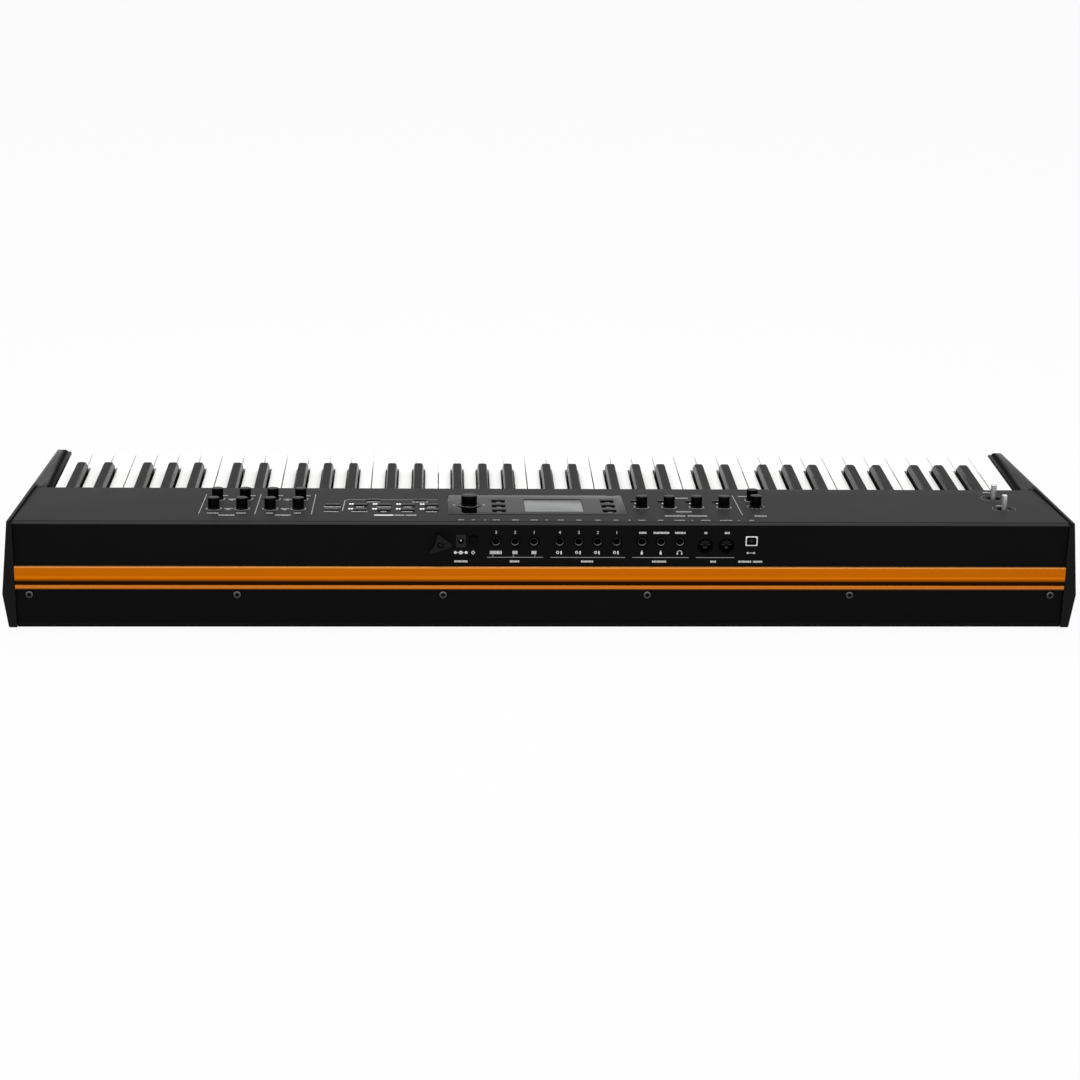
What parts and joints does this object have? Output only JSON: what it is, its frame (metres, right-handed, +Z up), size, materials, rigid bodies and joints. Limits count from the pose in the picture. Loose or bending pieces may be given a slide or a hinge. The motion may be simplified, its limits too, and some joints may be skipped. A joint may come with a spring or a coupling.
{
  "type": "stage piano",
  "caption": "Slim stage piano: folded steel case between end cheeks, weighted keyboard, sloping control panel with knobs, buttons, display and joysticks, rear socket field.",
  "frame": {"origin": "middle of the overall width and depth, at the underside of the feet", "axes": "+X towards the treble end, +Y towards the rear socket field, +Z up; the player sits at -Y"},
  "size_m": [1.058, 0.3086, 0.1253],
  "materials": {
    "painted_steel": "fine textured black paint",
    "cheek_plastic": "satin black moulding",
    "orange_anodised": "satin orange anodised extrusion",
    "ivory_plastic": "satin white",
    "ebony_plastic": "matte black",
    "knob_plastic": "matte black",
    "cap_plastic": "matte dark grey",
    "gloss_panel": "polished",
    "display_glass": "clear window over a grey display",
    "chrome_stick": "polished",
    "socket_plastic": "moulded black",
    "socket_tin": "bright tinned shell",
    "circuit_board": "green solder mask",
    "bright_steel": "zinc plated",
    "rubber_foot": "matte"
  },
  "bodies": {
    "case": {"base_tray": "painted_steel", "top_panel": "painted_steel", "rear_rail": "orange_anodised", "cheek_right": "cheek_plastic", "cheek_left": "cheek_plastic", "key_frame": "bright_steel", "contact_board": "circuit_board", "display_bezel": "gloss_panel", "display_module": "display_glass", "control_board": "circuit_board", "joystick_board": "circuit_board", "jack_board": "socket_plastic", "midi_sockets": "socket_plastic", "usb_socket": "socket_tin", "power_inlet": "socket_plastic", "cord_hook": "socket_plastic", "rear_screws": "painted_steel", "foot_rear_right": "rubber_foot", "foot_rear_left": "rubber_foot", "foot_front_right": "rubber_foot", "foot_front_left": "rubber_foot"},
    "c_keys": {"keys_c": "ivory_plastic"},
    "c_sharp_keys": {"keys_c_sharp": "ebony_plastic"},
    "d_keys": {"keys_d": "ivory_plastic"},
    "d_sharp_keys": {"keys_d_sharp": "ebony_plastic"},
    "e_keys": {"keys_e": "ivory_plastic"},
    "f_keys": {"keys_f": "ivory_plastic"},
    "f_sharp_keys": {"keys_f_sharp": "ebony_plastic"},
    "g_keys": {"keys_g": "ivory_plastic"},
    "g_sharp_keys": {"keys_g_sharp": "ebony_plastic"},
    "a_keys": {"keys_a": "ivory_plastic"},
    "a_sharp_keys": {"keys_a_sharp": "ebony_plastic"},
    "b_keys": {"keys_b": "ivory_plastic"},
    "near_select_buttons": {"select_buttons_near": "cap_plastic"},
    "far_select_buttons": {"select_buttons_far": "cap_plastic"},
    "part_button_pair": {"part_buttons": "cap_plastic"},
    "zone_button_row": {"zone_buttons": "cap_plastic"},
    "right_soft_buttons": {"soft_buttons_right": "cap_plastic"},
    "left_soft_buttons": {"soft_buttons_left": "cap_plastic"},
    "near_knob_1": {"effect_knob_near_1": "knob_plastic"},
    "near_knob_2": {"effect_knob_near_2": "knob_plastic"},
    "near_knob_3": {"effect_knob_near_3": "knob_plastic"},
    "near_knob_4": {"effect_knob_near_4": "knob_plastic"},
    "far_knob_1": {"effect_knob_far_1": "knob_plastic"},
    "far_knob_2": {"effect_knob_far_2": "knob_plastic"},
    "far_knob_3": {"effect_knob_far_3": "knob_plastic"},
    "far_knob_4": {"effect_knob_far_4": "knob_plastic"},
    "zone_knob_a": {"zone_knob_1": "knob_plastic"},
    "zone_knob_b": {"zone_knob_2": "knob_plastic"},
    "zone_knob_c": {"zone_knob_3": "knob_plastic"},
    "zone_knob_d": {"zone_knob_4": "knob_plastic"},
    "volume": {"volume_knob": "knob_plastic"},
    "input_level": {"input_level_knob": "knob_plastic"},
    "dial_plunger": {"dial_shaft": "bright_steel"},
    "dial": {"dial_knob": "knob_plastic"},
    "yoke_1": {"joystick_yoke_1": "bright_steel"},
    "yoke_2": {"joystick_yoke_2": "bright_steel"},
    "stick_1": {"joystick_1": "chrome_stick"},
    "stick_2": {"joystick_2": "chrome_stick"},
    "switch_button": {"power_switch": "knob_plastic"}
  },
  "joints": [
    {"name": "c_keys_hinge", "type": "hinge", "parent": "case", "child": "c_keys", "pos_m": [0, 0.0952, 0.073], "axis": [1, 0, 0], "range_deg": [0, 2.38], "stiffness_Nm_per_rad": 5, "springref_deg": -17.19},
    {"name": "c_sharp_keys_hinge", "type": "hinge", "parent": "case", "child": "c_sharp_keys", "pos_m": [0, 0.0952, 0.073], "axis": [1, 0, 0], "range_deg": [0, 2.38], "stiffness_Nm_per_rad": 3, "springref_deg": -11.46},
    {"name": "d_keys_hinge", "type": "hinge", "parent": "case", "child": "d_keys", "pos_m": [0, 0.0952, 0.073], "axis": [1, 0, 0], "range_deg": [0, 2.38], "stiffness_Nm_per_rad": 5, "springref_deg": -17.19},
    {"name": "d_sharp_keys_hinge", "type": "hinge", "parent": "case", "child": "d_sharp_keys", "pos_m": [0, 0.0952, 0.073], "axis": [1, 0, 0], "range_deg": [0, 2.38], "stiffness_Nm_per_rad": 3, "springref_deg": -11.46},
    {"name": "e_keys_hinge", "type": "hinge", "parent": "case", "child": "e_keys", "pos_m": [0, 0.0952, 0.073], "axis": [1, 0, 0], "range_deg": [0, 2.38], "stiffness_Nm_per_rad": 5, "springref_deg": -17.19},
    {"name": "f_keys_hinge", "type": "hinge", "parent": "case", "child": "f_keys", "pos_m": [0, 0.0952, 0.073], "axis": [1, 0, 0], "range_deg": [0, 2.38], "stiffness_Nm_per_rad": 5, "springref_deg": -17.19},
    {"name": "f_sharp_keys_hinge", "type": "hinge", "parent": "case", "child": "f_sharp_keys", "pos_m": [0, 0.0952, 0.073], "axis": [1, 0, 0], "range_deg": [0, 2.38], "stiffness_Nm_per_rad": 3, "springref_deg": -11.46},
    {"name": "g_keys_hinge", "type": "hinge", "parent": "case", "child": "g_keys", "pos_m": [0, 0.0952, 0.073], "axis": [1, 0, 0], "range_deg": [0, 2.38], "stiffness_Nm_per_rad": 5, "springref_deg": -17.19},
    {"name": "g_sharp_keys_hinge", "type": "hinge", "parent": "case", "child": "g_sharp_keys", "pos_m": [0, 0.0952, 0.073], "axis": [1, 0, 0], "range_deg": [0, 2.38], "stiffness_Nm_per_rad": 3, "springref_deg": -11.46},
    {"name": "a_keys_hinge", "type": "hinge", "parent": "case", "child": "a_keys", "pos_m": [0, 0.0952, 0.073], "axis": [1, 0, 0], "range_deg": [0, 2.38], "stiffness_Nm_per_rad": 5, "springref_deg": -17.19},
    {"name": "a_sharp_keys_hinge", "type": "hinge", "parent": "case", "child": "a_sharp_keys", "pos_m": [0, 0.0952, 0.073], "axis": [1, 0, 0], "range_deg": [0, 2.38], "stiffness_Nm_per_rad": 3, "springref_deg": -11.46},
    {"name": "b_keys_hinge", "type": "hinge", "parent": "case", "child": "b_keys", "pos_m": [0, 0.0952, 0.073], "axis": [1, 0, 0], "range_deg": [0, 2.38], "stiffness_Nm_per_rad": 5, "springref_deg": -17.19},
    {"name": "near_select_press", "type": "slide", "parent": "case", "child": "near_select_buttons", "axis": [0, 0.1056, -0.9944], "range_m": [0, 0.0007], "stiffness_N_per_m": 400, "springref_m": -0.002},
    {"name": "far_select_press", "type": "slide", "parent": "case", "child": "far_select_buttons", "axis": [0, 0.1056, -0.9944], "range_m": [0, 0.0007], "stiffness_N_per_m": 400, "springref_m": -0.002},
    {"name": "part_button_press", "type": "slide", "parent": "case", "child": "part_button_pair", "axis": [0, 0.1056, -0.9944], "range_m": [0, 0.0007], "stiffness_N_per_m": 400, "springref_m": -0.002},
    {"name": "zone_button_press", "type": "slide", "parent": "case", "child": "zone_button_row", "axis": [0, 0.1056, -0.9944], "range_m": [0, 0.0007], "stiffness_N_per_m": 400, "springref_m": -0.002},
    {"name": "right_soft_press", "type": "slide", "parent": "case", "child": "right_soft_buttons", "axis": [0, 0.1056, -0.9944], "range_m": [0, 0.0007], "stiffness_N_per_m": 400, "springref_m": -0.002},
    {"name": "left_soft_press", "type": "slide", "parent": "case", "child": "left_soft_buttons", "axis": [0, 0.1056, -0.9944], "range_m": [0, 0.0007], "stiffness_N_per_m": 400, "springref_m": -0.002},
    {"name": "near_knob_1_turn", "type": "hinge", "parent": "case", "child": "near_knob_1", "pos_m": [0.2443, 0.09399, 0.11106], "axis": [0, -0.1056, 0.9944], "range_deg": [-150, 150]},
    {"name": "near_knob_2_turn", "type": "hinge", "parent": "case", "child": "near_knob_2", "pos_m": [0.2721, 0.09399, 0.11106], "axis": [0, -0.1056, 0.9944], "range_deg": [-150, 150]},
    {"name": "near_knob_3_turn", "type": "hinge", "parent": "case", "child": "near_knob_3", "pos_m": [0.2999, 0.09399, 0.11106], "axis": [0, -0.1056, 0.9944], "range_deg": [-150, 150]},
    {"name": "near_knob_4_turn", "type": "hinge", "parent": "case", "child": "near_knob_4", "pos_m": [0.3277, 0.09399, 0.11106], "axis": [0, -0.1056, 0.9944], "range_deg": [-150, 150]},
    {"name": "far_knob_1_turn", "type": "hinge", "parent": "case", "child": "far_knob_1", "pos_m": [0.2443, 0.05421, 0.10684], "axis": [0, -0.1056, 0.9944], "range_deg": [-150, 150]},
    {"name": "far_knob_2_turn", "type": "hinge", "parent": "case", "child": "far_knob_2", "pos_m": [0.2721, 0.05421, 0.10684], "axis": [0, -0.1056, 0.9944], "range_deg": [-150, 150]},
    {"name": "far_knob_3_turn", "type": "hinge", "parent": "case", "child": "far_knob_3", "pos_m": [0.2999, 0.05421, 0.10684], "axis": [0, -0.1056, 0.9944], "range_deg": [-150, 150]},
    {"name": "far_knob_4_turn", "type": "hinge", "parent": "case", "child": "far_knob_4", "pos_m": [0.3277, 0.05421, 0.10684], "axis": [0, -0.1056, 0.9944], "range_deg": [-150, 150]},
    {"name": "zone_knob_a_turn", "type": "hinge", "parent": "case", "child": "zone_knob_a", "pos_m": [-0.098, 0.08355, 0.10995], "axis": [0, -0.1056, 0.9944], "range_deg": [-150, 150]},
    {"name": "zone_knob_b_turn", "type": "hinge", "parent": "case", "child": "zone_knob_b", "pos_m": [-0.1257, 0.08355, 0.10995], "axis": [0, -0.1056, 0.9944], "range_deg": [-150, 150]},
    {"name": "zone_knob_c_turn", "type": "hinge", "parent": "case", "child": "zone_knob_c", "pos_m": [-0.1534, 0.08355, 0.10995], "axis": [0, -0.1056, 0.9944], "range_deg": [-150, 150]},
    {"name": "zone_knob_d_turn", "type": "hinge", "parent": "case", "child": "zone_knob_d", "pos_m": [-0.1811, 0.08355, 0.10995], "axis": [0, -0.1056, 0.9944], "range_deg": [-150, 150]},
    {"name": "volume_turn", "type": "hinge", "parent": "case", "child": "volume", "pos_m": [-0.2136, 0.08056, 0.10963], "axis": [0, -0.1056, 0.9944], "range_deg": [-150, 150]},
    {"name": "input_level_turn", "type": "hinge", "parent": "case", "child": "input_level", "pos_m": [-0.2136, 0.05421, 0.10684], "axis": [0, -0.1056, 0.9944], "range_deg": [-150, 150]},
    {"name": "dial_push", "type": "slide", "parent": "case", "child": "dial_plunger", "axis": [0, 0.1056, -0.9944], "range_m": [0, 0.0006], "stiffness_N_per_m": 600, "springref_m": -0.002},
    {"name": "dial_turn", "type": "hinge", "parent": "dial_plunger", "child": "dial", "pos_m": [0.0749, 0.07957, 0.10953], "axis": [0, -0.1056, 0.9944], "continuous": true},
    {"name": "joystick_1_pitch", "type": "hinge", "parent": "case", "child": "yoke_1", "pos_m": [-0.4652, 0.08837, 0.10242], "axis": [1, 0, 0], "range_deg": [-18, 18], "stiffness_Nm_per_rad": 0.02},
    {"name": "joystick_1_roll", "type": "hinge", "parent": "yoke_1", "child": "stick_1", "pos_m": [-0.4652, 0.08837, 0.10242], "axis": [0, 0.9944, 0.1056], "range_deg": [-18, 18], "stiffness_Nm_per_rad": 0.02},
    {"name": "joystick_2_pitch", "type": "hinge", "parent": "case", "child": "yoke_2", "pos_m": [-0.4652, 0.04332, 0.09763], "axis": [1, 0, 0], "range_deg": [-18, 18], "stiffness_Nm_per_rad": 0.02},
    {"name": "joystick_2_roll", "type": "hinge", "parent": "yoke_2", "child": "stick_2", "pos_m": [-0.4652, 0.04332, 0.09763], "axis": [0, 0.9944, 0.1056], "range_deg": [-18, 18], "stiffness_Nm_per_rad": 0.02},
    {"name": "power_press", "type": "slide", "parent": "case", "child": "switch_button", "axis": [0, -1, 0], "range_m": [0, 0.0012], "stiffness_N_per_m": 400, "springref_m": -0.002}
  ]
}
